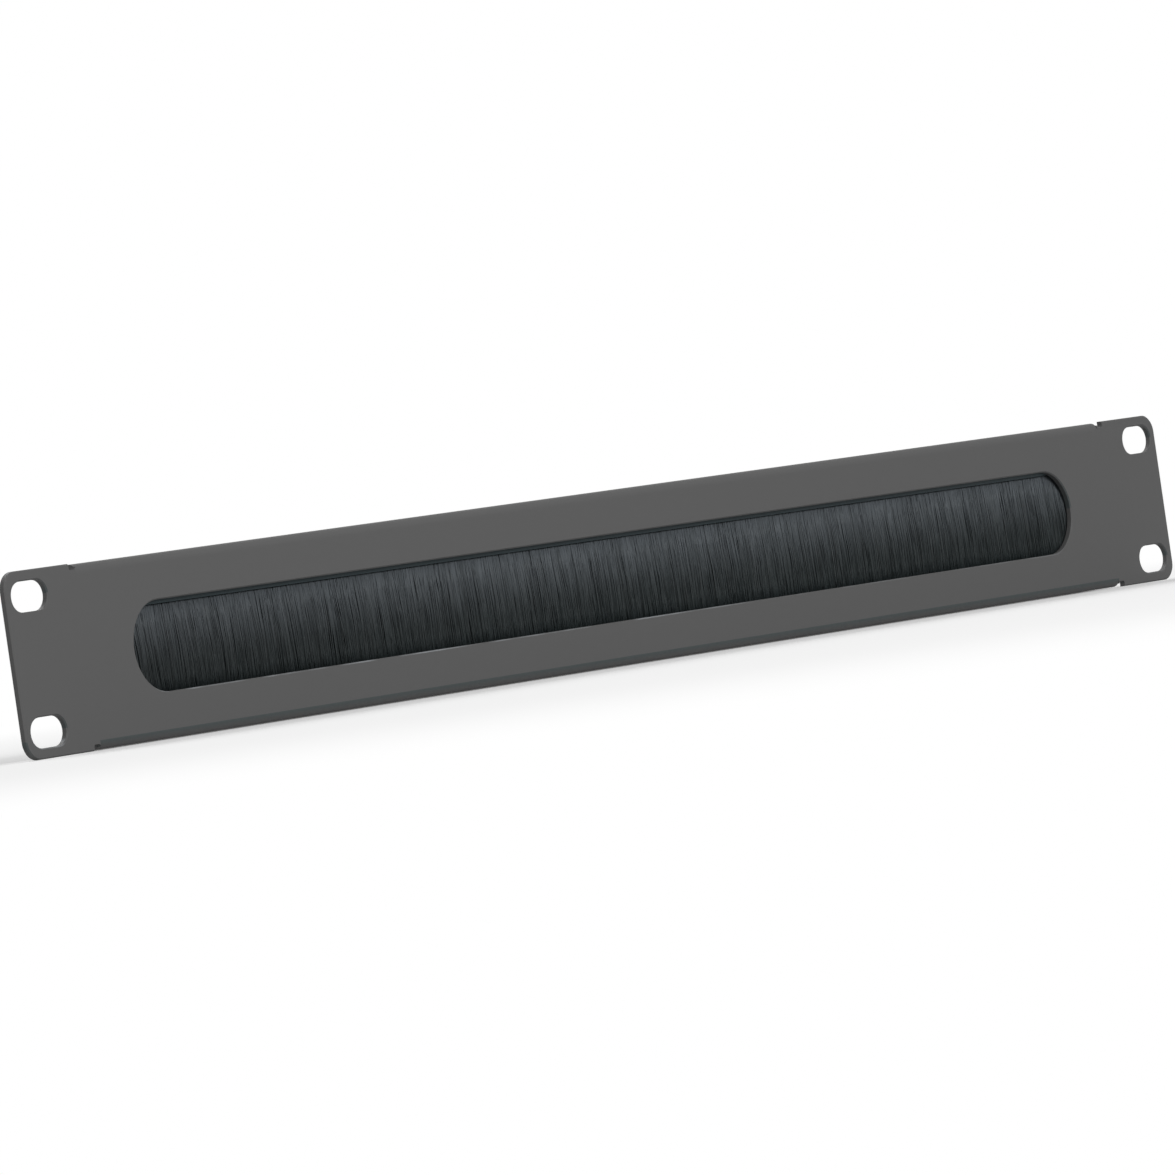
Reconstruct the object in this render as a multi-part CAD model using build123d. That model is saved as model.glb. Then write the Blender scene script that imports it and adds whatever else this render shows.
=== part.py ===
from build123d import *
import os
from math import cos, pi, sin

# Rack cable entry panel: a folded steel front, one rack unit high, with a long round-ended
# opening closed by a curtain of bristles. The brush is a strip brush (bristles doubled over
# a core wire and crimped in a steel channel), clamped behind the front by an angle rail on
# weld studs, so that no fastener shows from the front.
# Frame, in millimetres: +X along the panel, +Y to the rear, +Z up. The origin is the centre
# of the ears' rear face, the plane that meets the rack's rails.

# Front panel
panel_width = 482.6  # over the ears
panel_height = 44.0  # of the ears
sheet = 1.5  # thickness of the sheet
corner_radius = 4.5  # of the ears' corners
edge_break = 0.3  # front edges of the ears, the holes and the opening, under the coating

# Slotted fixing holes in the ears
hole_inset_x = 8.75  # from the panel's end to the hole's centre
hole_inset_z = 6.125  # from the panel's long edge to the hole's centre
hole_length = 13.0
hole_width = 7.2

# Folded flanges along the top and the bottom
ear_width = 26.6  # flat stretch with no flange, at each end
fold_setback = 0.2  # how far the folds stand in from the ears' edges
bend_radius = 0.6  # inside radius of the bends
flange_depth = 11.5  # from the ears' rear face to the flange's free edge
flange_corner = 3.0  # radius of the free edge's corners
relief_width = 2.4  # notch between flange and ear
relief_depth = 1.5
relief_corner = 0.6

# Opening
opening_end_margin = 44.15  # from the panel's end to the opening's end

# Strip brush
channel_width = 4.8
channel_height = 3.95
channel_wall = 0.6
channel_mouth = 2.8  # between the crimped lips
channel_crimp = 1.5  # height of the sloped lips, which start below the wire's centre
channel_shoulder = 1.1  # outer radius of the channel's back
lip_show = 0.9  # how far the channel reaches below the opening's upper edge
wire_diameter = 1.0
brush_clearance = 0.05  # between the brush's own pieces
brush_overhang = 5.0  # channel beyond each end of the opening
bristle_inset = 0.4  # from the channel's end to the first bristles
tuft_pitch = 3.0
tuft_spread_height = 7.0  # from the mouth down to where the bristles have spread
tuft_spread = 0.7  # how much wider the curtain gets, on each side
tuft_groove = 0.5  # depth of the grooves between tufts
bristle_overlap = 3.4  # bristles behind the sheet, below the opening
tip_unevenness = 0.5
tip_notch = 1.1  # height of the notches between the tufts' tips

# Clamp rail
rail_wall = 1.4
rail_overhang = 2.0  # rail beyond each end of the channel
rail_gap = 0.3  # from the rail to the top flange
rail_rib = 0.5  # thickness of the rib over the channel's back
rail_rib_reach = 2.0
rail_foot_gap = 0.6  # from the channel's mouth up to the rail's lower edge
rail_hole_clearance = 0.2  # around the stud

# Weld studs, washers and nuts
stud_count = 5
stud_end_margin = 14.0  # from the rail's end to the first stud
stud_diameter = 2.98
stud_chamfer = 0.4
stud_flange_diameter = 4.0
stud_flange_height = 0.8
stud_projection = 0.9  # beyond the nut
stud_room = 0.1  # around the stud's flange, inside the rail
washer_diameter = 7.0
washer_clearance = 0.11  # around the stud
washer_thickness = 0.5
nut_across_flats = 5.5
nut_clearance = 0.03  # around the stud's thread
nut_thickness = 2.4
nut_chamfer = 0.3
tool_room = 0.3  # from washer or nut to the top flange

# Places worked out from the sizes above
front_y = -sheet
fold_top = panel_height / 2 - fold_setback
bend_outer = bend_radius + sheet
bend_z = fold_top - bend_outer
flange_length = panel_width - 2 * ear_width
flange_inner_z = fold_top - sheet
rail_top = flange_inner_z - rail_gap
rail_corner = bend_radius + rail_gap
nut_corner = nut_across_flats / 2 / cos(pi / 6)
stud_half = stud_flange_diameter / 2 + stud_room
fastener_half = max(washer_diameter / 2, nut_corner)
stud_z = min(rail_top - rail_wall - stud_half, flange_inner_z - tool_room - fastener_half)
rib_top = stud_z - stud_half
channel_top = rib_top - rail_rib
mouth_z = channel_top - channel_height
opening_top = mouth_z + lip_show
opening_length = panel_width - 2 * opening_end_margin
opening_height = 2 * opening_top
channel_length = opening_length + 2 * brush_overhang
rail_length = channel_length + 2 * rail_overhang
rail_depth = channel_width + rail_wall
brush_y = channel_width / 2
stud_length = rail_depth + washer_thickness + nut_thickness + stud_projection
stud_pitch = (rail_length - 2 * stud_end_margin) / (stud_count - 1)
stud_places = [(i - (stud_count - 1) / 2) * stud_pitch for i in range(stud_count)]
pack_half = channel_width / 2 - channel_wall - brush_clearance
neck_half = channel_mouth / 2 - brush_clearance
spread_half = neck_half + tuft_spread
wire_z = channel_top - channel_wall - brush_clearance - pack_half
crimp_z = min(mouth_z + channel_crimp, wire_z - brush_clearance)
tip_z = -opening_top - bristle_overlap


def along_x(section, length):
    """Extrudes a section drawn as (y, z) along X, centred on X = 0."""
    placed = Plane.YZ.offset(-length / 2) * section
    return extrude(placed, amount=length)


def towards_rear(shape, y_from, thickness):
    """Extrudes a shape drawn as (x, z) from y_from towards the rear."""
    placed = Plane.XZ.offset(-y_from) * shape
    return extrude(placed, amount=-thickness)


def rear_cylinder(x, z, radius, y_from, length):
    axis = Plane(origin=(x, y_from, z), z_dir=(0, 1, 0))
    return extrude(axis * Circle(radius), amount=length)


def polygon(points):
    return make_face(Polyline(*points, close=True))


def fold_section():
    """The top bend and its flange, as (y, z)."""
    mid = cos(pi / 4)
    section = Line((front_y, bend_z), (0, bend_z))
    section += ThreePointArc(
        (0, bend_z),
        (bend_radius - bend_radius * mid, bend_z + bend_radius * mid),
        (bend_radius, flange_inner_z),
    )
    section += Line((bend_radius, flange_inner_z), (flange_depth, flange_inner_z))
    section += Line((flange_depth, flange_inner_z), (flange_depth, fold_top))
    section += Line((flange_depth, fold_top), (bend_radius, fold_top))
    section += ThreePointArc(
        (bend_radius, fold_top),
        (bend_radius - bend_outer * mid, bend_z + bend_outer * mid),
        (front_y, bend_z),
    )
    return make_face(section)


def make_face_panel():
    outline = RectangleRounded(panel_width, panel_height, corner_radius)
    relief_x = (flange_length + relief_width) / 2
    for side in (1, -1):
        edge_z = side * panel_height / 2
        strip = Location((0, side * (panel_height / 2 + bend_z) / 2))
        outline -= strip * Rectangle(flange_length, panel_height / 2 - bend_z)
        for x in (-relief_x, relief_x):
            notch = RectangleRounded(relief_width, 2 * relief_depth, relief_corner)
            outline -= Location((x, edge_z)) * notch
    outline -= SlotOverall(opening_length, opening_height)
    hole_x = panel_width / 2 - hole_inset_x
    hole_z = panel_height / 2 - hole_inset_z
    for x in (-hole_x, hole_x):
        for z in (-hole_z, hole_z):
            outline -= Location((x, z)) * SlotOverall(hole_length, hole_width)
    panel = towards_rear(outline, front_y, sheet)

    inner = relief_x + relief_width / 2
    front_edges = panel.edges().filter_by_position(Axis.Y, front_y, front_y)
    coated = [edge for edge in front_edges if is_coated_edge(edge, inner)]
    panel = chamfer(coated, edge_break)

    plan = Rectangle(flange_length, 2 * flange_depth)
    plan = fillet(plan.vertices(), flange_corner)
    clip = extrude(Plane.XY * plan, amount=panel_height / 2)
    fold = along_x(fold_section(), flange_length) & clip
    panel += fold
    panel += mirror(fold, about=Plane.XY)
    return panel


def is_coated_edge(edge, inner):
    """The ears' outer edges, the holes and the opening, but not the bends or the notches."""
    centre = edge.center(CenterOf.MASS)
    in_ear = abs(centre.X) > inner + 0.01
    in_opening = abs(centre.X) < opening_length / 2 + 0.01 and abs(centre.Z) < opening_top + 0.01
    return in_ear or in_opening


def make_brush_channel():
    half = channel_width / 2
    lip = channel_mouth / 2
    outer = polygon([
        (brush_y - half, channel_top),
        (brush_y + half, channel_top),
        (brush_y + half, crimp_z),
        (brush_y + lip + channel_wall, mouth_z),
        (brush_y - lip - channel_wall, mouth_z),
        (brush_y - half, crimp_z),
    ])
    outer = fillet(outer.vertices().group_by(Axis.Y)[-1], channel_shoulder)
    inner = polygon([
        (brush_y - half + channel_wall, channel_top - channel_wall),
        (brush_y + half - channel_wall, channel_top - channel_wall),
        (brush_y + half - channel_wall, crimp_z),
        (brush_y + lip, mouth_z),
        (brush_y - lip, mouth_z),
        (brush_y - half + channel_wall, crimp_z),
    ])
    inner = fillet(inner.vertices().group_by(Axis.Y)[-1], channel_shoulder - channel_wall)
    return along_x(outer - inner, channel_length)


def make_core_wire():
    wire = Plane.YZ.offset(-channel_length / 2) * Location((brush_y, wire_z)) * Circle(wire_diameter / 2)
    return extrude(wire, amount=channel_length)


def make_bristle_curtain():
    """Bristles doubled over the wire, then a curtain of tufts with uneven tips."""
    length = channel_length - 2 * bristle_inset
    count = round(length / tuft_pitch)
    pitch = length / count

    root = polygon([
        (brush_y - pack_half, wire_z),
        (brush_y + pack_half, wire_z),
        (brush_y + pack_half, crimp_z),
        (brush_y + neck_half, mouth_z),
        (brush_y - neck_half, mouth_z),
        (brush_y - pack_half, crimp_z),
    ])
    upper_half = Location((0, pack_half / 2)) * Rectangle(2 * pack_half, pack_half)
    root += Location((brush_y, wire_z)) * (Circle(pack_half) & upper_half)
    root -= Location((brush_y, wire_z)) * Circle(wire_diameter / 2 + brush_clearance)
    curtain = along_x(root, length)

    spread_z = mouth_z - tuft_spread_height
    skirt = along_x(polygon([
        (brush_y - neck_half, mouth_z),
        (brush_y + neck_half, mouth_z),
        (brush_y + spread_half, spread_z),
        (brush_y + spread_half, tip_z),
        (brush_y - spread_half, tip_z),
        (brush_y - spread_half, spread_z),
    ]), length)

    front = []
    rear = []
    lower = []
    for i in range(count):
        start = i * pitch - length / 2
        left = start + 0.25 * pitch
        right = start + 0.75 * pitch
        lift = tip_unevenness * (0.5 + 0.5 * sin(2.4 * i + 1.3 * sin(0.7 * i)))
        front += [(start, brush_y - spread_half + tuft_groove)]
        front += [(left, brush_y - spread_half), (right, brush_y - spread_half)]
        rear += [(start, brush_y + spread_half - tuft_groove)]
        rear += [(left, brush_y + spread_half), (right, brush_y + spread_half)]
        lower += [(start, tip_z + tip_unevenness + tip_notch)]
        lower += [(left, tip_z + lift), (right, tip_z + lift)]
    front += [(length / 2, brush_y - spread_half + tuft_groove)]
    rear += [(length / 2, brush_y + spread_half - tuft_groove)]
    lower += [(length / 2, tip_z + tip_unevenness + tip_notch)]
    plan = extrude(Plane.XY.offset(tip_z) * polygon(front + rear[::-1]), amount=mouth_z - tip_z)
    face = polygon(lower + [(length / 2, mouth_z), (-length / 2, mouth_z)])
    skirt = skirt & plan
    skirt = skirt & towards_rear(face, 0, channel_width)
    return curtain + skirt


def make_clamp_rail():
    section = polygon([
        (0, rail_top),
        (rail_depth, rail_top),
        (rail_depth, mouth_z + rail_foot_gap),
        (channel_width, mouth_z + rail_foot_gap),
        (channel_width, channel_top),
        (channel_width - rail_rib_reach, channel_top),
        (channel_width - rail_rib_reach, rib_top),
        (channel_width, rib_top),
        (channel_width, rail_top - rail_wall),
        (0, rail_top - rail_wall),
    ])
    section = fillet(section.vertices().group_by(Axis.Y)[-1], rail_corner)
    rail = along_x(section, rail_length)
    for x in stud_places:
        hole_radius = stud_diameter / 2 + rail_hole_clearance
        rail -= rear_cylinder(x, stud_z, hole_radius, channel_width - rail_rib_reach, rail_depth)
    return rail


def make_weld_stud(x):
    shank = rear_cylinder(x, stud_z, stud_diameter / 2, 0, stud_length)
    shank = chamfer(shank.edges().group_by(Axis.Y)[-1], stud_chamfer)
    return shank + rear_cylinder(x, stud_z, stud_flange_diameter / 2, 0, stud_flange_height)


def make_washer(x):
    bore = stud_diameter / 2 + washer_clearance
    washer = rear_cylinder(x, stud_z, washer_diameter / 2, rail_depth, washer_thickness)
    return washer - rear_cylinder(x, stud_z, bore, rail_depth, washer_thickness)


def make_nut(x):
    nut_y = rail_depth + washer_thickness
    bore = stud_diameter / 2 + nut_clearance
    base = Plane(origin=(x, nut_y, stud_z), z_dir=(0, 1, 0))
    prism = extrude(base * RegularPolygon(nut_corner, 6), amount=nut_thickness)
    drum = rear_cylinder(x, stud_z, nut_corner, nut_y, nut_thickness)
    drum = chamfer(drum.edges().filter_by(GeomType.CIRCLE), nut_chamfer)
    return (prism & drum) - rear_cylinder(x, stud_z, bore, nut_y, nut_thickness)


pieces = {
    "face_panel": make_face_panel(),
    "brush_channel": make_brush_channel(),
    "core_wire": make_core_wire(),
    "bristle_curtain": make_bristle_curtain(),
    "clamp_rail": make_clamp_rail(),
}
for number, place in enumerate(stud_places, start=1):
    pieces[f"weld_stud_{number}"] = make_weld_stud(place)
    pieces[f"washer_{number}"] = make_washer(place)
    pieces[f"nut_{number}"] = make_nut(place)

os.makedirs("parts", exist_ok=True)
for name, shape in pieces.items():
    export_step(shape, f"parts/{name}.step")
    print(name, shape.is_valid, len(shape.solids()), shape.bounding_box())
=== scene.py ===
import math

import bpy
import numpy as np
from mathutils import Matrix, Vector


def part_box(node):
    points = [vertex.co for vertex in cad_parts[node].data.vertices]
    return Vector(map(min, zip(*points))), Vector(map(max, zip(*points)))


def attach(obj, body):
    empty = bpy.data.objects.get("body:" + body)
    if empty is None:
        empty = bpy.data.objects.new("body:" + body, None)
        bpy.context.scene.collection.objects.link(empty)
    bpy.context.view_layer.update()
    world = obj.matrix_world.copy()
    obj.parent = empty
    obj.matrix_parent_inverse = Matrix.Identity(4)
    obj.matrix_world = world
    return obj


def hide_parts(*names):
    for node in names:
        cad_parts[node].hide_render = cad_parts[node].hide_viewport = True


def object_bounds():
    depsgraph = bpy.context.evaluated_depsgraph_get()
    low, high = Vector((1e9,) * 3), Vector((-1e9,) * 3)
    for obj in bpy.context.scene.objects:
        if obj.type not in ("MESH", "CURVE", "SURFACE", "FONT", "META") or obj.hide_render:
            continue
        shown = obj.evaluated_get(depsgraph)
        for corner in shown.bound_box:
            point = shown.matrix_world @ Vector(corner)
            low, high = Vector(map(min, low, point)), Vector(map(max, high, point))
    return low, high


# Rack cable entry panel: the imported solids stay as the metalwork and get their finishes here,
# the plain bristle solid is replaced by separate bristles, and the studs get their threads.

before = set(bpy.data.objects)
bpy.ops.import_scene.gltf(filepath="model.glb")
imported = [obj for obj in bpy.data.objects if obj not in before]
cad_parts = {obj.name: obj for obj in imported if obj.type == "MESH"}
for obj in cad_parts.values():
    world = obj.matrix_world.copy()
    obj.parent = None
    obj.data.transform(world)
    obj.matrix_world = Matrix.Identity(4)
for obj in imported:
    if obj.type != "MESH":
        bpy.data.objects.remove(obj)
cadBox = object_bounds()
print("frame loaded:", len(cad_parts), "nodes")


cameraSetup = {
    "aim": Vector((-0.01836, -0.0015, -0.00134)),
    "distance": 2.702,
    "azimuth": -53.3,  # degrees from straight ahead, negative to the left
    "elevation": 0.2,
    "roll": 8.25,
    "lens": 335.0,
    "sensor": 36.0,
    "farthest": 50.0,
}


def addCamera(setup):
    azimuth = math.radians(setup["azimuth"])
    elevation = math.radians(setup["elevation"])
    roll = math.radians(setup["roll"])
    back = Vector((
        math.sin(azimuth) * math.cos(elevation),
        -math.cos(azimuth) * math.cos(elevation),
        math.sin(elevation),
    ))
    level = (-back).cross(Vector((0, 0, 1))).normalized()
    upright = level.cross(-back)
    right = level * math.cos(roll) - upright * math.sin(roll)
    up = level * math.sin(roll) + upright * math.cos(roll)
    place = Matrix((right, up, back)).transposed().to_4x4()
    place.translation = setup["aim"] + back * setup["distance"]
    data = bpy.data.cameras.new("photoCamera")
    data.lens = setup["lens"]
    data.sensor_width = setup["sensor"]
    data.sensor_fit = "HORIZONTAL"
    data.clip_end = setup["farthest"]
    camera = bpy.data.objects.new("photoCamera", data)
    bpy.context.scene.collection.objects.link(camera)
    camera.matrix_world = place
    bpy.context.scene.camera = camera


addCamera(cameraSetup)
print("camera set")


def deselectAll():
    if bpy.context.object and bpy.context.object.mode != "OBJECT":
        bpy.ops.object.mode_set(mode="OBJECT")
    bpy.ops.object.select_all(action="DESELECT")


def takeNew(name):  # names what an add operator has just made
    piece = bpy.context.object
    piece.name = name
    piece.data.name = name
    return piece


def applyPlace(piece):
    deselectAll()
    piece.select_set(True)
    bpy.context.view_layer.objects.active = piece
    bpy.ops.object.transform_apply(location=True, rotation=True, scale=True)


def selectWhere(piece, kind, test):  # leaves the piece in edit mode
    deselectAll()
    piece.select_set(True)
    bpy.context.view_layer.objects.active = piece
    bpy.ops.object.mode_set(mode="EDIT")
    bpy.ops.mesh.select_mode(type=kind)
    bpy.ops.mesh.select_all(action="DESELECT")
    bpy.ops.object.mode_set(mode="OBJECT")
    parts = {"VERT": piece.data.vertices, "EDGE": piece.data.edges}[kind]
    for part in parts:
        part.select = test(part)
    bpy.ops.object.mode_set(mode="EDIT")


def edgeReach(piece, edge, axis):  # how far an edge goes along an axis
    first, second = (piece.data.vertices[i].co[axis] for i in edge.vertices)
    return abs(first - second)


def bevelRims(piece, width, angle):  # the piece is the active one
    rim = piece.modifiers.new("rim", "BEVEL")
    rim.width = width
    rim.segments = 2
    rim.limit_method = "ANGLE"
    rim.angle_limit = math.radians(angle)
    bpy.ops.object.modifier_apply(modifier=rim.name)


def finishPiece(piece, material, slotName, *replaced):
    piece.data.materials.clear()
    piece.data.materials.append(material)
    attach(piece, "root")
    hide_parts(*replaced)


def newGroup(name, inputs, outputs):
    group = bpy.data.node_groups.new(name, "ShaderNodeTree")
    for direction, sockets in (("INPUT", inputs), ("OUTPUT", outputs)):
        for label, kind in sockets.items():
            group.interface.new_socket(
                name=label, in_out=direction, socket_type="NodeSocket" + kind,
            )
    start = group.nodes.new("NodeGroupInput")
    end = group.nodes.new("NodeGroupOutput")
    return group, start, end


def addNode(tree, kind, **values):
    node = tree.nodes.new(kind)
    for key, value in values.items():
        if hasattr(node, key):
            setattr(node, key, value)
        else:
            node.inputs[key.replace("_", " ")].default_value = value
    return node


coatShape = {
    "peelDetail": 2.0,
    "peelRoughness": 0.5,
    "gritDetail": 3.0,
    "gritRoughness": 0.6,
    "gritShare": 0.45,  # how much of the grit is added to the peel
    "speckleSpan": (0.45, 1.0),  # where their sum goes from the dark tone to the light one
}


# Fine orange peel with a faint speckle, for powder coating.
def makeCoatGroup(shape):
    group, start, end = newGroup(
        "coatTexture",
        {"Vector": "Vector", "Peel Scale": "Float", "Grit Scale": "Float", "Depth": "Float"},
        {"Speckle": "Float", "Normal": "Vector"},
    )
    link = group.links.new
    peel = addNode(
        group, "ShaderNodeTexNoise",
        Detail=shape["peelDetail"], Roughness=shape["peelRoughness"],
    )
    grit = addNode(
        group, "ShaderNodeTexNoise",
        Detail=shape["gritDetail"], Roughness=shape["gritRoughness"],
    )
    link(start.outputs["Vector"], peel.inputs["Vector"])
    link(start.outputs["Vector"], grit.inputs["Vector"])
    link(start.outputs["Peel Scale"], peel.inputs["Scale"])
    link(start.outputs["Grit Scale"], grit.inputs["Scale"])
    both = addNode(group, "ShaderNodeMath", operation="MULTIPLY_ADD")
    both.inputs[1].default_value = shape["gritShare"]
    link(grit.outputs["Fac"], both.inputs[0])
    link(peel.outputs["Fac"], both.inputs[2])
    bump = addNode(group, "ShaderNodeBump", Strength=1.0)
    link(start.outputs["Depth"], bump.inputs["Distance"])
    link(both.outputs[0], bump.inputs["Height"])
    link(both.outputs[0], end.inputs["Speckle"])
    link(bump.outputs["Normal"], end.inputs["Normal"])
    return group


grainShape = {
    "lineDetail": 4.0,
    "lineRoughness": 0.65,
    "patchScale": 160.0,
    "patchDetail": 3.0,
    "patchRoughness": 0.55,
}


# Long lines along X with softer patches, for drawn, rolled and extruded metal.
def makeGrainGroup(shape):
    group, start, end = newGroup(
        "metalGrain",
        {"Vector": "Vector", "Along": "Float", "Across": "Float", "Depth": "Float"},
        {"Lines": "Float", "Patches": "Float", "Normal": "Vector"},
    )
    link = group.links.new
    stretch = addNode(group, "ShaderNodeCombineXYZ")
    link(start.outputs["Along"], stretch.inputs["X"])
    link(start.outputs["Across"], stretch.inputs["Y"])
    link(start.outputs["Across"], stretch.inputs["Z"])
    scaled = addNode(group, "ShaderNodeVectorMath", operation="MULTIPLY")
    link(start.outputs["Vector"], scaled.inputs[0])
    link(stretch.outputs["Vector"], scaled.inputs[1])
    lines = addNode(
        group, "ShaderNodeTexNoise",
        Scale=1.0, Detail=shape["lineDetail"], Roughness=shape["lineRoughness"],
    )
    link(scaled.outputs["Vector"], lines.inputs["Vector"])
    patches = addNode(
        group, "ShaderNodeTexNoise",
        Scale=shape["patchScale"], Detail=shape["patchDetail"],
        Roughness=shape["patchRoughness"],
    )
    link(start.outputs["Vector"], patches.inputs["Vector"])
    bump = addNode(group, "ShaderNodeBump", Strength=1.0)
    link(start.outputs["Depth"], bump.inputs["Distance"])
    link(lines.outputs["Fac"], bump.inputs["Height"])
    link(lines.outputs["Fac"], end.inputs["Lines"])
    link(patches.outputs["Fac"], end.inputs["Patches"])
    link(bump.outputs["Normal"], end.inputs["Normal"])
    return group


coatTexture = makeCoatGroup(coatShape)
metalGrain = makeGrainGroup(grainShape)


def newMaterial(name, **values):
    material = bpy.data.materials.new(name)
    material.use_nodes = True
    tree = material.node_tree
    shader = tree.nodes["Principled BSDF"]
    for key, value in values.items():
        shader.inputs[key.replace("_", " ")].default_value = value
    return material, tree, shader


def useGroup(tree, group, **values):
    node = tree.nodes.new("ShaderNodeGroup")
    node.node_tree = group
    for key, value in values.items():
        node.inputs[key.replace("_", " ")].default_value = value
    coordinates = tree.nodes.new("ShaderNodeTexCoord")
    tree.links.new(coordinates.outputs["Object"], node.inputs["Vector"])
    return node


noiseSpan = (0.3, 0.7)  # the stretch that a noise texture mostly stays in


def valueBetween(tree, factor, low, high, span=noiseSpan):
    spread = addNode(
        tree, "ShaderNodeMapRange",
        From_Min=span[0], From_Max=span[1], To_Min=low, To_Max=high,
    )
    tree.links.new(factor, spread.inputs["Value"])
    return spread.outputs["Result"]


def colourBetween(tree, factor, low, high, span=noiseSpan):
    mix = addNode(tree, "ShaderNodeMix", data_type="RGBA")
    mix.inputs[6].default_value = (*low, 1)
    mix.inputs[7].default_value = (*high, 1)
    tree.links.new(valueBetween(tree, factor, 0.0, 1.0, span), mix.inputs[0])
    return mix.outputs[2]


def multiplyAll(tree, first, *others):
    product = first
    for other in others:
        node = addNode(tree, "ShaderNodeMath", operation="MULTIPLY")
        tree.links.new(product, node.inputs[0])
        tree.links.new(other, node.inputs[1])
        product = node.outputs[0]
    return product


def makeCoating(name, look):
    material, tree, shader = newMaterial(name, Specular_IOR_Level=look["specular"])
    coat = useGroup(
        tree, coatTexture,
        Peel_Scale=look["peelScale"], Grit_Scale=look["gritScale"], Depth=look["depth"],
    )
    speckle = coat.outputs["Speckle"]
    span = coatShape["speckleSpan"]
    colour = colourBetween(tree, speckle, look["dark"], look["light"], span)
    rough = valueBetween(tree, speckle, *look["roughness"], span)
    tree.links.new(colour, shader.inputs["Base Color"])
    tree.links.new(rough, shader.inputs["Roughness"])
    tree.links.new(coat.outputs["Normal"], shader.inputs["Normal"])
    return material


def makeMetal(name, look):
    material, tree, shader = newMaterial(name, Metallic=1.0)
    grain = useGroup(
        tree, metalGrain, Along=look["along"], Across=look["across"], Depth=look["depth"],
    )
    colour = colourBetween(tree, grain.outputs[look["tone"]], look["dark"], look["light"])
    rough = valueBetween(tree, grain.outputs["Lines"], *look["roughness"])
    tree.links.new(colour, shader.inputs["Base Color"])
    tree.links.new(rough, shader.inputs["Roughness"])
    tree.links.new(grain.outputs["Normal"], shader.inputs["Normal"])
    return material


panelLook = {
    "dark": (0.0715, 0.0715, 0.0715),
    "light": (0.079, 0.079, 0.079),
    "roughness": (0.62, 0.72),
    "specular": 0.5,
    "peelScale": 1100.0,
    "gritScale": 3600.0,
    "depth": 0.00001,
}
channelLook = {
    "dark": (0.021, 0.032, 0.0355),
    "light": (0.025, 0.0375, 0.042),
    "roughness": (0.5, 0.6),
    "specular": 0.17,
    "peelScale": 1500.0,
    "gritScale": 4000.0,
    "depth": 0.000008,
}
railLook = {
    "tone": "Lines",
    "dark": (0.40, 0.41, 0.42),
    "light": (0.50, 0.51, 0.52),
    "roughness": (0.30, 0.46),
    "along": 5.0,
    "across": 3200.0,
    "depth": 0.00001,
}
wireLook = {
    "tone": "Lines",
    "dark": (0.36, 0.36, 0.37),
    "light": (0.50, 0.50, 0.51),
    "roughness": (0.25, 0.4),
    "along": 20.0,
    "across": 9000.0,
    "depth": 0.000003,
}
zincLook = {
    "tone": "Patches",
    "dark": (0.42, 0.44, 0.47),
    "light": (0.56, 0.57, 0.60),
    "roughness": (0.24, 0.38),
    "along": 900.0,
    "across": 2500.0,
    "depth": 0.000004,
}

# Painted light on the front's coating: a painted highlight, lighter in uneven stretches, along
# the lower half's edges that face up and forward, and painted shade, darker and cooler, where
# the sheet turns under. Each pair goes from no effect to all of it, and most are the upward
# part of the surface's normal.
paintedLightLook = {
    "edgeHighlightColour": (0.215, 0.225, 0.237),
    "edgeSteepness": (0.55, 0.68),
    "edgeTop": (0.86, 0.78),
    "edgeBelow": -0.004,  # only edges lower than this
    "edgeStretches": 42.0,  # per metre
    "edgeDetail": 2.0,
    "edgeSpan": (0.44, 0.60),
    "edgeFade": (0.0, 0.06),  # along X, from all of it to edgeLeast of it
    "edgeLeast": 0.25,
    "underShadeColour": (0.0395, 0.049, 0.05),
    "underStart": (-0.03, -0.07),
    "underFade": (-0.75, -0.2),
}


def overlayColour(material, mask, colour):
    tree = material.node_tree
    base = tree.nodes["Principled BSDF"].inputs["Base Color"]
    mix = addNode(tree, "ShaderNodeMix", data_type="RGBA")
    mix.inputs[7].default_value = (*colour, 1)
    tree.links.new(mask, mix.inputs[0])
    tree.links.new(base.links[0].from_socket, mix.inputs[6])
    tree.links.new(mix.outputs[2], base)


def addPaintedPanelLight(material, look):
    tree = material.node_tree
    geometry = tree.nodes.new("ShaderNodeNewGeometry")
    facing = tree.nodes.new("ShaderNodeSeparateXYZ")
    tree.links.new(geometry.outputs["Normal"], facing.inputs["Vector"])
    upward = facing.outputs["Z"]
    coordinates = tree.nodes.new("ShaderNodeTexCoord")
    place = tree.nodes.new("ShaderNodeSeparateXYZ")
    tree.links.new(coordinates.outputs["Object"], place.inputs["Vector"])
    lower = addNode(tree, "ShaderNodeMath", operation="LESS_THAN")
    lower.inputs[1].default_value = look["edgeBelow"]
    tree.links.new(place.outputs["Z"], lower.inputs[0])
    uneven = addNode(
        tree, "ShaderNodeTexNoise",
        noise_dimensions="1D", Scale=look["edgeStretches"], Detail=look["edgeDetail"],
    )
    tree.links.new(place.outputs["X"], uneven.inputs["W"])
    # painted highlight: lighter colour on the up-facing edges of the lower half
    edge = multiplyAll(
        tree,
        valueBetween(tree, upward, 0.0, 1.0, look["edgeSteepness"]),
        valueBetween(tree, upward, 0.0, 1.0, look["edgeTop"]),
        valueBetween(tree, uneven.outputs["Fac"], 0.0, 1.0, look["edgeSpan"]),
        valueBetween(tree, place.outputs["X"], 1.0, look["edgeLeast"], look["edgeFade"]),
        lower.outputs[0],
    )
    overlayColour(material, edge, look["edgeHighlightColour"])
    # painted shade: darker, cooler colour where the sheet turns under and faces down
    under = multiplyAll(
        tree,
        valueBetween(tree, upward, 0.0, 1.0, look["underStart"]),
        valueBetween(tree, upward, 0.0, 1.0, look["underFade"]),
    )
    overlayColour(material, under, look["underShadeColour"])


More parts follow.
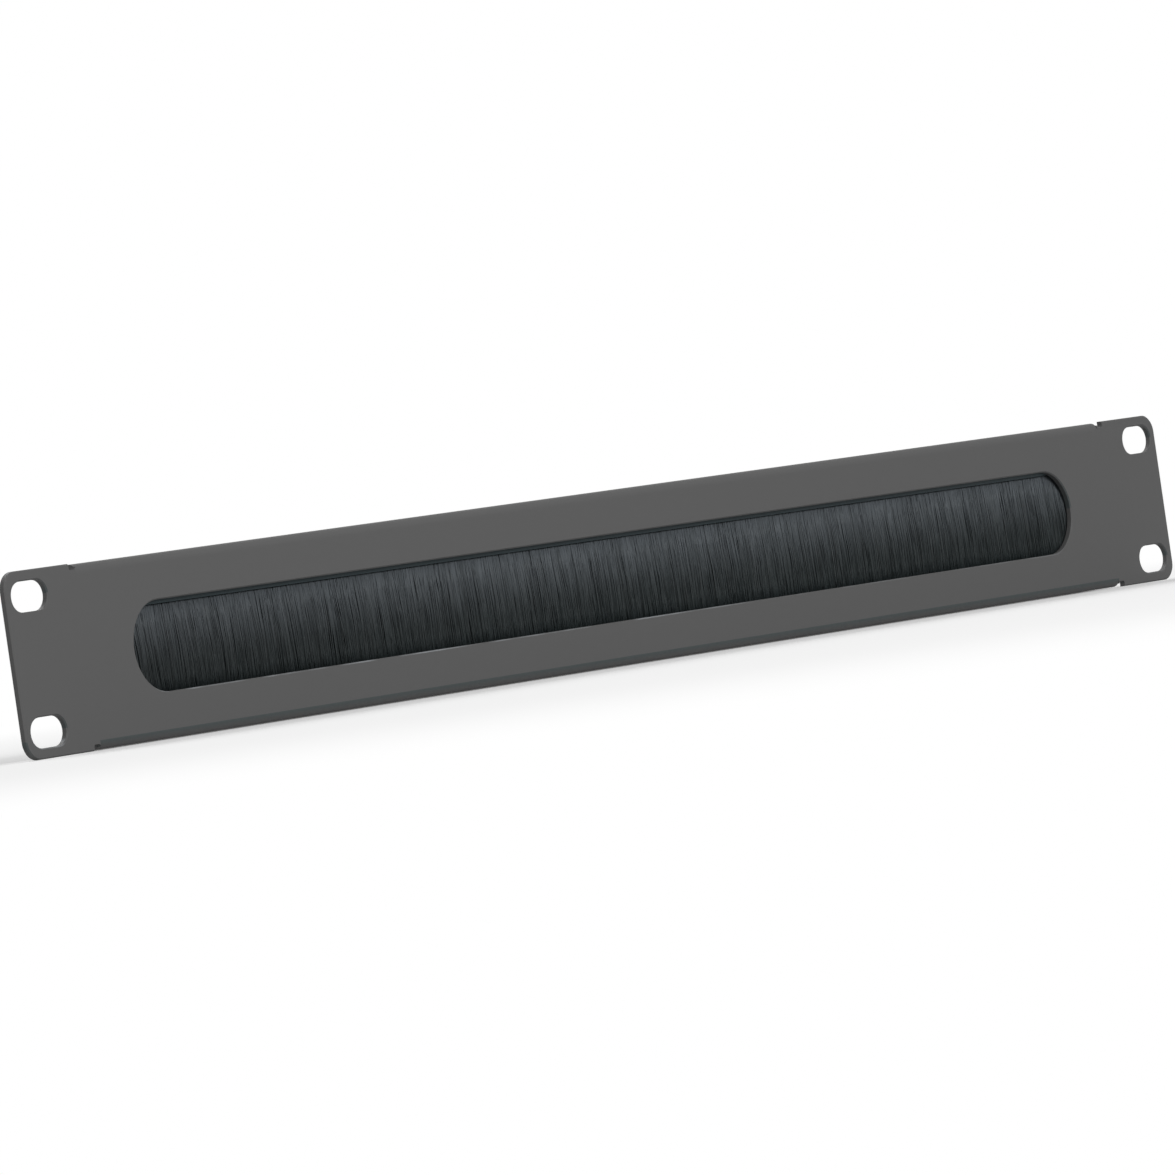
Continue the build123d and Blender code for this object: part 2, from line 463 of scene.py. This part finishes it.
panelCoating = makeCoating("panelCoating", panelLook)
addPaintedPanelLight(panelCoating, paintedLightLook)
channelCoating = makeCoating("channelCoating", channelLook)
railAluminium = makeMetal("railAluminium", railLook)
wireSteel = makeMetal("wireSteel", wireLook)
zincSteel = makeMetal("zincSteel", zincLook)

nodeFinishes = {  # by the start of the node's name
    "face_panel": panelCoating,
    "brush_channel": channelCoating,
    "core_wire": wireSteel,
    "clamp_rail": railAluminium,
    "washer_": zincSteel,
    "nut_": zincSteel,
}
for nodeName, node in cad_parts.items():
    for start, finish in nodeFinishes.items():
        if nodeName.startswith(start):
            for materialSlot in node.material_slots:
                materialSlot.material = finish
print("finishes assigned")


bristleLook = {
    "paintedLitTopColour": (0.094, 0.1065, 0.117),
    "paintedShadeTipColour": (0.0178, 0.0238, 0.0248),
    "lightZ": 0.0108,  # where the painted light is strongest, just under the channel
    "darkZ": -0.0068,
    "shades": (0.78, 1.03),  # along X: painted shade, the brush darker towards its left-hand end
    "shadeSpan": (-0.2, -0.03),
    "streakStretch": (330.0, 40.0, 38.0),  # per metre along X, Y and Z
    "streakDetail": 3.0,
    "streakRoughness": 0.6,
    "streakSpan": (0.35, 0.65),
    "streakTints": (0.78, 1.16),
    "roughness": (0.42, 0.6),
    "tintSpan": (0.7, 1.3),  # the bristles' own tints, spread over the roughness
    "specular": 0.25,
}


def makeBristleMaterial(look):
    material, tree, shader = newMaterial("bristleNylon", Specular_IOR_Level=look["specular"])
    coordinates = tree.nodes.new("ShaderNodeTexCoord")
    place = tree.nodes.new("ShaderNodeSeparateXYZ")
    tree.links.new(coordinates.outputs["Object"], place.inputs["Vector"])
    stretch = addNode(tree, "ShaderNodeVectorMath", operation="MULTIPLY")
    stretch.inputs[1].default_value = look["streakStretch"]
    tree.links.new(coordinates.outputs["Object"], stretch.inputs[0])
    streaks = addNode(
        tree, "ShaderNodeTexNoise",
        Scale=1.0, Detail=look["streakDetail"], Roughness=look["streakRoughness"],
    )
    tree.links.new(stretch.outputs["Vector"], streaks.inputs["Vector"])
    # painted light and shade: the bristles lighter just under the channel and darker towards
    # their tips
    height = addNode(
        tree, "ShaderNodeMapRange", interpolation_type="SMOOTHSTEP",
        From_Min=look["darkZ"], From_Max=look["lightZ"],
    )
    tree.links.new(place.outputs["Z"], height.inputs["Value"])
    tint = addNode(tree, "ShaderNodeAttribute", attribute_name="tint")
    tone = multiplyAll(
        tree,
        height.outputs["Result"],
        valueBetween(tree, streaks.outputs["Fac"], *look["streakTints"], look["streakSpan"]),
        tint.outputs["Fac"],
    )
    colour = colourBetween(tree, tone, look["paintedShadeTipColour"], look["paintedLitTopColour"], (0.0, 1.0))
    rough = valueBetween(tree, tint.outputs["Fac"], *look["roughness"], look["tintSpan"])
    # painted shade along the brush, darker towards its left-hand end
    shade = valueBetween(tree, place.outputs["X"], *look["shades"], look["shadeSpan"])
    shaded = addNode(tree, "ShaderNodeVectorMath", operation="SCALE")
    tree.links.new(colour, shaded.inputs[0])
    tree.links.new(shade, shaded.inputs["Scale"])
    tree.links.new(shaded.outputs["Vector"], shader.inputs["Base Color"])
    tree.links.new(rough, shader.inputs["Roughness"])
    return material


bristleNylon = makeBristleMaterial(bristleLook)


bristleShape = {
    "radius": 0.00013,
    "taper": 0.25,  # how much thinner the tip is
    "sides": 3,
    "cuts": 3,
    "perLayer": 7200,
    "tuftPitch": 0.0034,
    "gather": 0.12,  # how much a tuft draws together by its tips
    "lean": 0.0003,  # sideways reach of a tuft's tips
    "scatter": 0.0006,
    "curl": 1.3,  # above 1, the lean comes mostly near the tip
    "bow": 0.0004,  # to the side
    "bowDepth": 0.00016,  # to the front or rear
    "rootRise": 0.0012,  # how far the roots start inside the channel
    "neck": 0.00115,  # half the depth of the bristles in the mouth
    "spread": 0.0018,  # half their depth below it
    "spreadRate": 2.2,  # lengths of a bristle
    "spreadDelay": 0.2,
    "tipLift": (0.0001, 0.0007),
    "endInset": 0.0006,
    "tints": (0.95, 1.05),  # for a tuft, and again for a bristle
}
bristleLayers = (  # name, seed, and place between the front, -1, and the rear, 1
    ("bristles_front", 11, (-1.0, -0.75)),
    ("bristles_front_inner", 17, (-0.8, -0.3)),
    ("bristles_middle", 23, (-0.35, 0.35)),
    ("bristles_rear_inner", 31, (0.3, 0.8)),
    ("bristles_rear", 37, (0.75, 1.0)),
)


# One bristle from z = 0 down to z = -1, with rings to bend it at.
def modelOneBristle(shape):
    deselectAll()
    bpy.ops.mesh.primitive_cylinder_add(
        vertices=shape["sides"], radius=shape["radius"], depth=1.0, location=(0, 0, -0.5),
    )
    bristle = takeNew("bristleMaster")
    applyPlace(bristle)
    selectWhere(bristle, "EDGE", lambda edge: edgeReach(bristle, edge, 2) > 0.5)
    bpy.ops.mesh.subdivide(number_cuts=shape["cuts"])
    bpy.ops.mesh.select_all(action="SELECT")
    bpy.ops.mesh.normals_make_consistent(inside=False)
    bpy.ops.object.mode_set(mode="OBJECT")
    return bristle


# Copies of the master bristle along the channel's mouth, each with its own lean and bow.
# Their centre lines stay inside the solid that they replace, so that none is flattened.
def growBristles(name, master, shape, seed, depthRange):
    rng = np.random.default_rng(seed)
    low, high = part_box("bristle_curtain")
    channelLow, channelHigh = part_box("brush_channel")
    middleY = (channelLow[1] + channelHigh[1]) / 2
    start = low[0] + shape["endInset"]
    end = high[0] - shape["endInset"]
    count = shape["perLayer"]

    rootX = np.sort(rng.uniform(start, end, count))
    tuft = np.floor((rootX - start) / shape["tuftPitch"]).astype(int)
    tuftCount = int(tuft.max()) + 1
    tuftMiddle = start + (tuft + 0.5) * shape["tuftPitch"]
    tuftLean = rng.normal(0, 1, tuftCount)[tuft] * shape["lean"]
    tuftTint = rng.uniform(*shape["tints"], tuftCount)[tuft]
    depth = rng.uniform(*depthRange, count)
    across = (tuftMiddle - rootX) * shape["gather"] + tuftLean
    across += rng.normal(0, shape["scatter"], count)
    bow = rng.normal(0, shape["bow"], count)
    bowDepth = rng.normal(0, shape["bowDepth"], count)
    rootZ = channelLow[2] + shape["rootRise"]
    tipZ = low[2] + rng.uniform(*shape["tipLift"], count)
    length = rootZ - tipZ
    tint = tuftTint * rng.uniform(*shape["tints"], count)
    turn = rng.uniform(0, 2 * math.pi, count)

    template = np.array([v.co[:] for v in master.data.vertices])
    along = -template[:, 2][None, :]  # 0 at the root, 1 at the tip
    opened = np.clip(along * shape["spreadRate"] - shape["spreadDelay"], 0, 1)
    halfDepth = shape["neck"] + (shape["spread"] - shape["neck"]) * opened
    thin = 1.0 - shape["taper"] * along
    cosTurn = np.cos(turn)[:, None]
    sinTurn = np.sin(turn)[:, None]
    offX = (template[:, 0] * cosTurn - template[:, 1] * sinTurn) * thin
    offY = (template[:, 0] * sinTurn + template[:, 1] * cosTurn) * thin
    arch = np.sin(math.pi * along)
    room = shape["radius"]
    x = rootX[:, None] + across[:, None] * along ** shape["curl"] + bow[:, None] * arch
    x = np.clip(x, low[0] + room, high[0] - room) + offX
    y = middleY + depth[:, None] * halfDepth + bowDepth[:, None] * arch
    y = np.clip(y, low[1] + room, high[1] - room) + offY
    z = rootZ - length[:, None] * along
    points = np.stack([x, y, z], axis=-1).reshape(-1, 3)
    perBristle = len(template)
    faces = [list(f.vertices) for f in master.data.polygons]
    allFaces = [[i + b * perBristle for i in f] for b in range(count) for f in faces]

    mesh = bpy.data.meshes.new(name)
    mesh.from_pydata(points.tolist(), [], allFaces)
    mesh.update()
    tints = mesh.attributes.new("tint", "FLOAT", "POINT")
    tints.data.foreach_set("value", np.repeat(tint, perBristle))
    mesh.polygons.foreach_set("use_smooth", [True] * len(mesh.polygons))
    piece = bpy.data.objects.new(name, mesh)
    bpy.context.scene.collection.objects.link(piece)
    return piece


bristleMaster = modelOneBristle(bristleShape)
for layerName, seed, depthRange in bristleLayers:
    layer = growBristles(layerName, bristleMaster, bristleShape, seed, depthRange)
    finishPiece(layer, bristleNylon, "bristle_nylon", "bristle_curtain")
bpy.data.objects.remove(bristleMaster)
print("bristles grown:", len(layer.data.polygons), "faces in a layer")


# The doubled-over part of the bristles, round the wire, shows at the channel's open ends.
rootShape = {
    "sides": 32,
    "topRadius": 0.00172,
    "neckRadius": 0.00128,
    "neckRise": 0.0010,  # where the neck starts, above the channel's mouth
    "neckBelow": 0.1,  # what counts as the neck, in top radii under the wire's middle
    "neckHeight": 0.05,  # what is left of that part's height
    "wireRoom": 0.00003,
    "drillReach": 1.1,  # lengths of the root
    "rimBevel": 0.00012,
    "rimAngle": 60,
    "smoothAngle": 40,
}


def makeBristleRoot(shape):
    low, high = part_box("bristle_curtain")
    wireLow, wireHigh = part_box("core_wire")
    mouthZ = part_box("brush_channel")[0][2]
    middleY = (wireLow[1] + wireHigh[1]) / 2
    middleZ = (wireLow[2] + wireHigh[2]) / 2
    length = high[0] - low[0]
    deselectAll()
    bpy.ops.mesh.primitive_cylinder_add(
        vertices=shape["sides"], radius=shape["topRadius"], depth=length,
        location=(0, middleY, middleZ), rotation=(0, math.pi / 2, 0),
    )
    root = takeNew("bristle_root")
    applyPlace(root)
    neckZ = middleZ - shape["topRadius"] * shape["neckBelow"]
    selectWhere(root, "VERT", lambda vertex: vertex.co.z < neckZ)
    bpy.ops.transform.resize(
        value=(1, shape["neckRadius"] / shape["topRadius"], shape["neckHeight"]),
        center_override=(0, middleY, mouthZ + shape["neckRise"]),
    )
    bpy.ops.object.mode_set(mode="OBJECT")
    deselectAll()
    bpy.ops.mesh.primitive_cylinder_add(
        vertices=shape["sides"], depth=length * shape["drillReach"],
        radius=(wireHigh[2] - wireLow[2]) / 2 + shape["wireRoom"],
        location=(0, middleY, middleZ), rotation=(0, math.pi / 2, 0),
    )
    drill = takeNew("wireDrill")
    applyPlace(drill)
    bpy.context.view_layer.objects.active = root
    hole = root.modifiers.new("wireHole", "BOOLEAN")
    hole.object = drill
    hole.operation = "DIFFERENCE"
    hole.solver = "EXACT"
    bpy.ops.object.modifier_apply(modifier=hole.name)
    bpy.data.objects.remove(drill)
    bevelRims(root, shape["rimBevel"], shape["rimAngle"])
    deselectAll()
    root.select_set(True)
    bpy.ops.object.shade_smooth_by_angle(angle=math.radians(shape["smoothAngle"]))
    tints = root.data.attributes.new("tint", "FLOAT", "POINT")
    tints.data.foreach_set("value", [1.0] * len(root.data.vertices))
    return root


bristleRoot = makeBristleRoot(rootShape)
finishPiece(bristleRoot, bristleNylon, "bristle_nylon", "bristle_curtain")
print("bristle root made")


studShape = {
    "sides": 24,
    "studRadius": 0.00149,
    "pitch": 0.0005,
    "threadDepth": 0.00028,
    "ringsPerTurn": 4,
    "plainLength": 0.0022,  # from the panel to the first thread
    "pointLength": 0.0004,
    "flangeHeight": 0.0008,
    "rimBevel": 0.00012,
    "rimAngle": 30,
    "smoothAngle": 35,
}


def makeStud(name, shape):
    low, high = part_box(name)
    middleX = (low[0] + high[0]) / 2
    middleZ = (low[2] + high[2]) / 2
    length = high[1] - low[1]
    rings = int(length / shape["pitch"]) * shape["ringsPerTurn"]
    deselectAll()
    bpy.ops.mesh.primitive_cylinder_add(
        vertices=shape["sides"], radius=shape["studRadius"], depth=length,
        location=(middleX, (low[1] + high[1]) / 2, middleZ), rotation=(-math.pi / 2, 0, 0),
    )
    shank = takeNew(name + "_threaded")
    applyPlace(shank)
    selectWhere(shank, "EDGE", lambda edge: edgeReach(shank, edge, 1) > length / 2)
    bpy.ops.mesh.subdivide(number_cuts=rings)
    bpy.ops.object.mode_set(mode="OBJECT")
    for vertex in shank.data.vertices:
        away = Vector((vertex.co.x - middleX, 0, vertex.co.z - middleZ))
        turn = math.atan2(away.z, away.x) / (2 * math.pi)
        depth = vertex.co.y - low[1]
        phase = (depth / shape["pitch"] - turn) % 1.0
        groove = abs(phase * 2 - 1)
        fade = min(1.0, max(0.0, (depth - shape["plainLength"]) / shape["pitch"]))
        radius = shape["studRadius"] - shape["threadDepth"] * groove * fade
        toEnd = length - depth
        if toEnd < shape["pointLength"]:
            radius = min(radius, shape["studRadius"] - (shape["pointLength"] - toEnd))
        vertex.co.x = middleX + away.normalized().x * radius
        vertex.co.z = middleZ + away.normalized().z * radius
    deselectAll()
    bpy.ops.mesh.primitive_cylinder_add(
        vertices=2 * shape["sides"], radius=(high[0] - low[0]) / 2,
        depth=shape["flangeHeight"],
        location=(middleX, low[1] + shape["flangeHeight"] / 2, middleZ),
        rotation=(-math.pi / 2, 0, 0),
    )
    flange = takeNew(name + "_flange")
    applyPlace(flange)
    bevelRims(flange, shape["rimBevel"], shape["rimAngle"])
    deselectAll()
    flange.select_set(True)
    shank.select_set(True)
    bpy.context.view_layer.objects.active = shank
    bpy.ops.object.join()
    bpy.ops.object.shade_smooth_by_angle(angle=math.radians(shape["smoothAngle"]))
    return shank


# One stud is modelled and copied to the others' places, each copy with its own mesh.
def copyPiece(piece, name, shift):
    twin = piece.copy()
    twin.data = piece.data.copy()
    twin.name = name
    twin.data.name = name
    bpy.context.scene.collection.objects.link(twin)
    twin.location = shift
    applyPlace(twin)
    return twin


studNodes = sorted(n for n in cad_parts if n.startswith("weld_stud_"))
firstStud = makeStud(studNodes[0], studShape)
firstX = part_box(studNodes[0])[0][0]
studs = {studNodes[0]: firstStud}
for nodeName in studNodes[1:]:
    shift = (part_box(nodeName)[0][0] - firstX, 0, 0)
    studs[nodeName] = copyPiece(firstStud, nodeName + "_threaded", shift)
for nodeName, stud in studs.items():
    finishPiece(stud, zincSteel, "zinc_steel", nodeName)
print("studs threaded:", len(firstStud.data.polygons), "faces in a stud")


stageSetup = {
    "floorSize": 8.0,
    "floorColour": (0.5, 0.5, 0.5),  # what it gives back to the object
    "shadowColour": (0.92, 0.92, 0.92),  # what the camera sees near the object
    "seenLift": 0.12,
    "fadeStart": 0.35,  # from here out the floor is seen as plain white
    "fadeEnd": 0.9,
    "ambient": 0.34,
}
lamps = {
    "key": {"place": (-0.75, -2.3, 0.85), "size": 1.1, "power": 39.5},
    "top": {"place": (-0.3, -0.2, 2.2), "size": 1.2, "power": 2.5},
    "back": {"place": (0.7, 1.8, 1.3), "size": 1.2, "power": 26.0},
}


def seenDirectly(tree):  # 1 for what the camera sees, also in gloss and through glass
    path = tree.nodes.new("ShaderNodeLightPath")
    seen = path.outputs["Is Camera Ray"]
    for ray in ("Is Glossy Ray", "Is Transmission Ray"):
        either = addNode(tree, "ShaderNodeMath", operation="MAXIMUM")
        tree.links.new(seen, either.inputs[0])
        tree.links.new(path.outputs[ray], either.inputs[1])
        seen = either.outputs[0]
    return seen


def mixShaders(tree, factor, first, second):
    mix = tree.nodes.new("ShaderNodeMixShader")
    for place, socket in enumerate((factor, first, second)):
        tree.links.new(socket, mix.inputs[place])
    return mix.outputs[0]


def makeFloorMaterial(setup):
    material = bpy.data.materials.new("floorPaint")
    material.use_nodes = True
    tree = material.node_tree
    tree.nodes.clear()
    paint = addNode(tree, "ShaderNodeBsdfDiffuse", Color=(*setup["floorColour"], 1))
    shadowed = addNode(tree, "ShaderNodeBsdfDiffuse", Color=(*setup["shadowColour"], 1))
    lift = addNode(tree, "ShaderNodeEmission", Strength=setup["seenLift"])
    white = addNode(tree, "ShaderNodeEmission", Strength=1.0)
    near = tree.nodes.new("ShaderNodeAddShader")
    tree.links.new(shadowed.outputs[0], near.inputs[0])
    tree.links.new(lift.outputs[0], near.inputs[1])
    coordinates = tree.nodes.new("ShaderNodeTexCoord")
    reach = addNode(tree, "ShaderNodeVectorMath", operation="LENGTH")
    tree.links.new(coordinates.outputs["Object"], reach.inputs[0])
    fade = addNode(
        tree, "ShaderNodeMapRange", interpolation_type="SMOOTHSTEP",
        From_Min=setup["fadeStart"], From_Max=setup["fadeEnd"],
    )
    tree.links.new(reach.outputs["Value"], fade.inputs["Value"])
    seenFloor = mixShaders(tree, fade.outputs["Result"], near.outputs[0], white.outputs[0])
    out = tree.nodes.new("ShaderNodeOutputMaterial")
    whole = mixShaders(tree, seenDirectly(tree), paint.outputs[0], seenFloor)
    tree.links.new(whole, out.inputs["Surface"])
    return material


def addFloor(setup):
    deselectAll()
    bpy.ops.mesh.primitive_plane_add(size=setup["floorSize"], location=(0, 0, cadBox[0][2]))
    floor = takeNew("floor")
    applyPlace(floor)
    floor.data.materials.append(makeFloorMaterial(setup))


def addWorld(setup):
    world = bpy.data.worlds.new("studio")
    bpy.context.scene.world = world
    world.use_nodes = True
    tree = world.node_tree
    tree.nodes.clear()
    ambient = addNode(
        tree, "ShaderNodeBackground", Color=(1, 1, 1, 1), Strength=setup["ambient"],
    )
    white = addNode(tree, "ShaderNodeBackground", Color=(1, 1, 1, 1), Strength=1.0)
    out = tree.nodes.new("ShaderNodeOutputWorld")
    whole = mixShaders(tree, seenDirectly(tree), ambient.outputs[0], white.outputs[0])
    tree.links.new(whole, out.inputs["Surface"])


def addLamp(name, setup):
    data = bpy.data.lights.new(name, "AREA")
    data.shape = "DISK"
    data.size = setup["size"]
    data.energy = setup["power"]
    lamp = bpy.data.objects.new(name, data)
    bpy.context.scene.collection.objects.link(lamp)
    lamp.location = setup["place"]
    lamp.rotation_euler = Vector(setup["place"]).to_track_quat("Z", "Y").to_euler()


addFloor(stageSetup)
addWorld(stageSetup)
for lampName, lampSetup in lamps.items():
    addLamp(lampName, lampSetup)
bpy.context.scene.view_settings.view_transform = "Standard"
print("stage lit")
